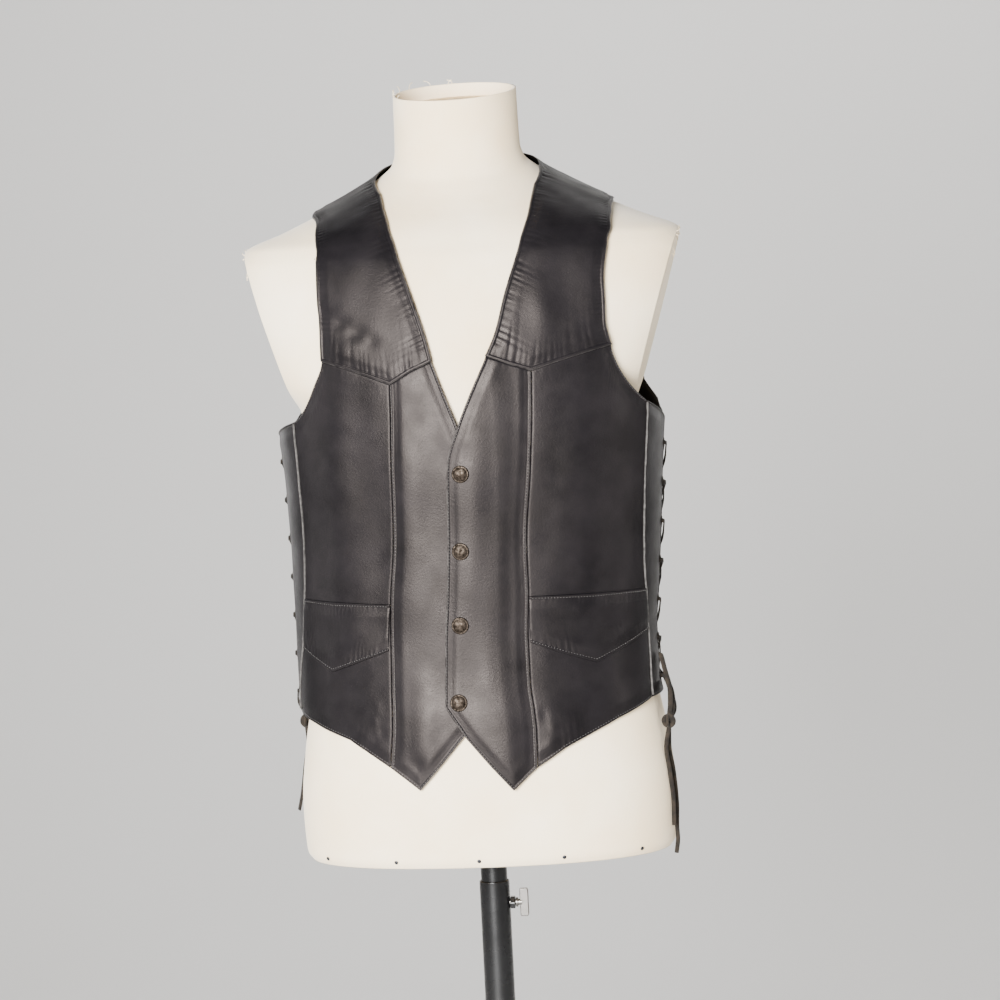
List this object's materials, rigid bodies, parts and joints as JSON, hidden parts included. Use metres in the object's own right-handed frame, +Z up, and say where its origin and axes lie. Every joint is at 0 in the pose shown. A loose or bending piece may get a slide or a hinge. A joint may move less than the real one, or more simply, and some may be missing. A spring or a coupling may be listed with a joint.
{
  "type": "leather vest on a limbless dress form with a pole stand",
  "caption": "Black leather V-neck vest with a snapped front, pointed hem and laced sides, worn by a limbless cotton dress form on a height-adjustable pole stand.",
  "frame": {"origin": "on the floor under the pole, the centre of the stand's round foot", "axes": "+Z up along the pole, -Y towards the wearer's front, +X towards the wearer's left"},
  "size_m": [0.4148, 0.34, 1.5176],
  "materials": {
    "leather": "black smooth cowhide with a soft sheen",
    "antique_metal": "antique nickel over brass, worn bright at the rims",
    "suede_thong": "grey-brown suede thong, matt",
    "cotton_jersey": "cream cotton stretched over papier-mache",
    "plywood": "plain plywood",
    "black_enamel": "gloss black enamel",
    "chrome_plate": "bright plated steel"
  },
  "bodies": {
    "stand": {"stand_base": "black_enamel", "outer_tube": "black_enamel", "clamp_nut": "black_enamel"},
    "screw": {"thumb_screw": "chrome_plate"},
    "mast": {"mast": "black_enamel"},
    "figure": {"right_front_centre": "leather", "right_front_side": "leather", "right_yoke": "leather", "right_side_strip": "leather", "right_pocket_flap": "leather", "eyelet_right_front_1": "antique_metal", "eyelet_right_front_2": "antique_metal", "eyelet_right_front_3": "antique_metal", "eyelet_right_front_4": "antique_metal", "eyelet_right_front_5": "antique_metal", "eyelet_right_front_6": "antique_metal", "eyelet_right_front_7": "antique_metal", "eyelet_right_back_1": "antique_metal", "eyelet_right_back_2": "antique_metal", "eyelet_right_back_3": "antique_metal", "eyelet_right_back_4": "antique_metal", "eyelet_right_back_5": "antique_metal", "eyelet_right_back_6": "antique_metal", "eyelet_right_back_7": "antique_metal", "right_lace": "suede_thong", "right_lace_tail_1": "suede_thong", "right_lace_tail_2": "suede_thong", "right_arm_plate": "cotton_jersey", "left_front_centre": "leather", "left_front_side": "leather", "left_yoke": "leather", "left_side_strip": "leather", "left_pocket_flap": "leather", "eyelet_left_front_1": "antique_metal", "eyelet_left_front_2": "antique_metal", "eyelet_left_front_3": "antique_metal", "eyelet_left_front_4": "antique_metal", "eyelet_left_front_5": "antique_metal", "eyelet_left_front_6": "antique_metal", "eyelet_left_front_7": "antique_metal", "eyelet_left_back_1": "antique_metal", "eyelet_left_back_2": "antique_metal", "eyelet_left_back_3": "antique_metal", "eyelet_left_back_4": "antique_metal", "eyelet_left_back_5": "antique_metal", "eyelet_left_back_6": "antique_metal", "eyelet_left_back_7": "antique_metal", "left_lace": "suede_thong", "left_lace_tail_1": "suede_thong", "left_lace_tail_2": "suede_thong", "left_arm_plate": "cotton_jersey", "back_panel": "leather", "snap_cap_1": "antique_metal", "snap_cap_2": "antique_metal", "snap_cap_3": "antique_metal", "snap_cap_4": "antique_metal", "form_shell": "cotton_jersey", "neck_cap": "cotton_jersey", "base_board": "plywood"}
  },
  "joints": [
    {"name": "height", "type": "slide", "parent": "stand", "child": "mast", "axis": [0, 0, 1], "range_m": [-0.03, 0.25]},
    {"name": "swivel", "type": "hinge", "parent": "mast", "child": "figure", "pos_m": [0, 0, 0.782], "axis": [0, 0, 1], "continuous": true},
    {"name": "clamp", "type": "hinge", "parent": "stand", "child": "screw", "pos_m": [0.013, 0, 0.723], "axis": [1, 0, 0], "continuous": true}
  ]
}
